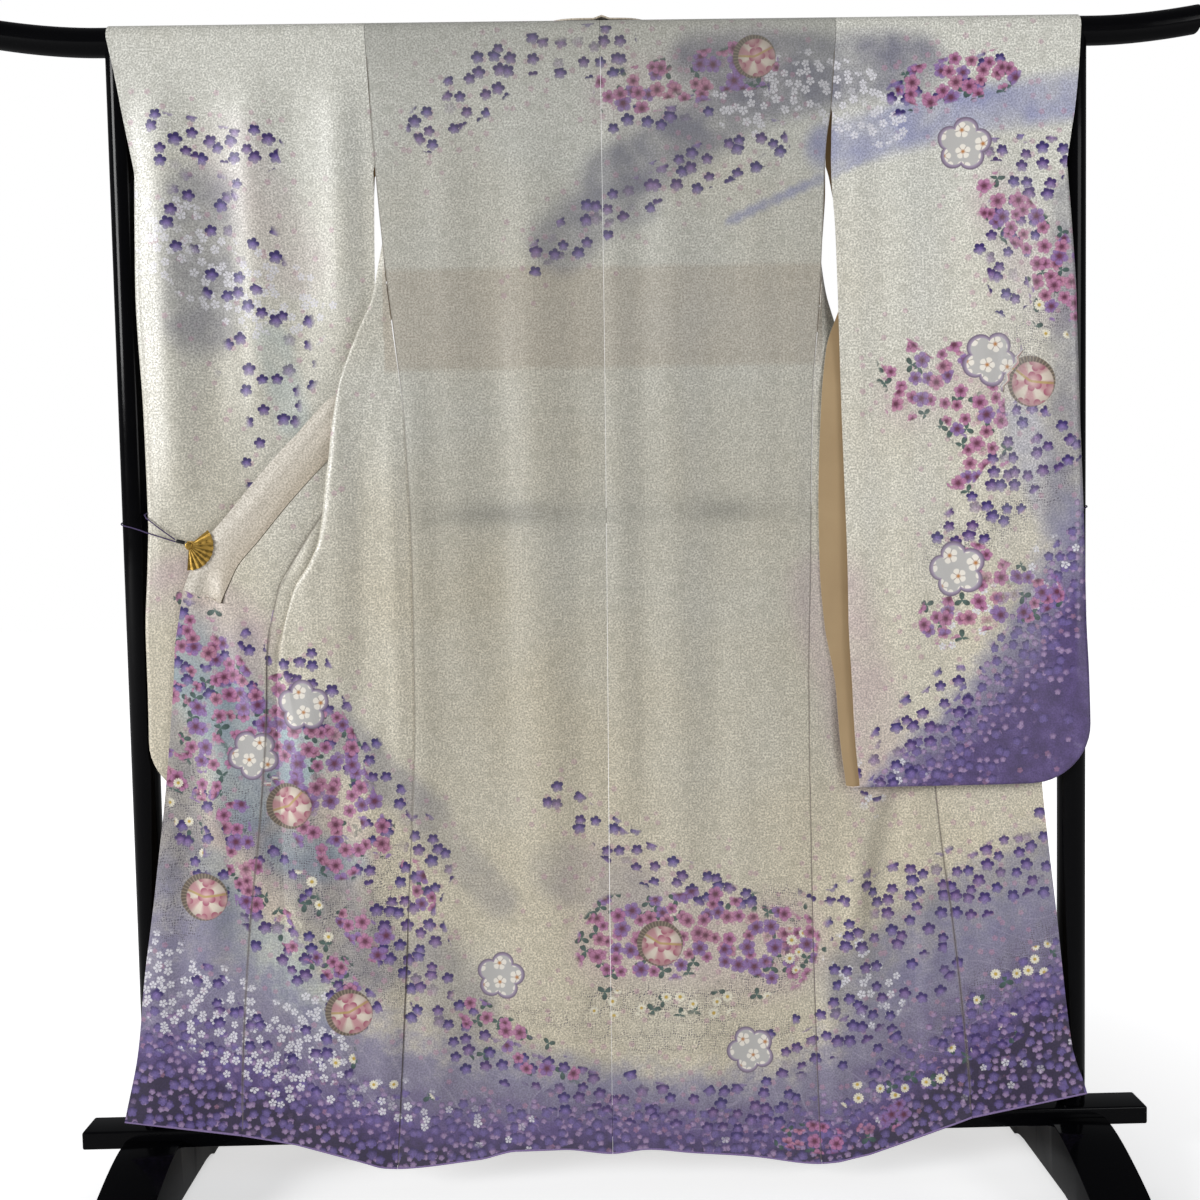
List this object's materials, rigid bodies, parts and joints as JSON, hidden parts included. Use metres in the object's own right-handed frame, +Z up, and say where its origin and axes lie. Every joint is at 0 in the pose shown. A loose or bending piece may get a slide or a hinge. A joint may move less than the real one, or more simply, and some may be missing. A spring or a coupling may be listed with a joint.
{
  "type": "furisode kimono on a display stand",
  "caption": "Long-sleeved silk kimono hung over the rod of a black lacquered stand, its back to the viewer and both fronts swung out beside it and clipped to the posts",
  "frame": {"origin": "middle of the stand's footprint on the floor", "axes": "+Z up; +X along the rod, to the right of a viewer who faces the garment's back; the garment's back faces -Y and the rod, posts and beam lie in the plane Y = 0"},
  "size_m": [1.658, 0.4, 1.6438],
  "materials": {
    "lacquer": "wood under glossy black lacquer",
    "silk": "lined silk damask, soft sheen, dyed and printed pattern",
    "collar_silk": "doubled silk damask band",
    "brass": "stamped, softly polished",
    "elastic": "thin covered elastic cord",
    "black_plastic": "moulded black plastic"
  },
  "bodies": {
    "root": {"rod": "lacquer", "post_left": "lacquer", "post_right": "lacquer", "mid_rail": "lacquer", "base_beam": "lacquer", "foot_left": "lacquer", "foot_right": "lacquer", "back_left": "silk", "back_right": "silk", "front_left": "silk", "front_right": "silk", "overlap_left": "silk", "overlap_right": "silk", "sleeve_left": "silk", "sleeve_right": "silk", "over_collar": "collar_silk", "collar_left": "collar_silk", "collar_right": "collar_silk", "clip_fan_left": "brass", "clip_hub_left": "brass", "clip_jaw_left": "brass", "clip_fan_right": "brass", "clip_hub_right": "brass", "clip_jaw_right": "brass", "ferrule_left": "black_plastic", "ferrule_right": "black_plastic", "elastic_left": "elastic", "elastic_right": "elastic"}
  },
  "joints": []
}
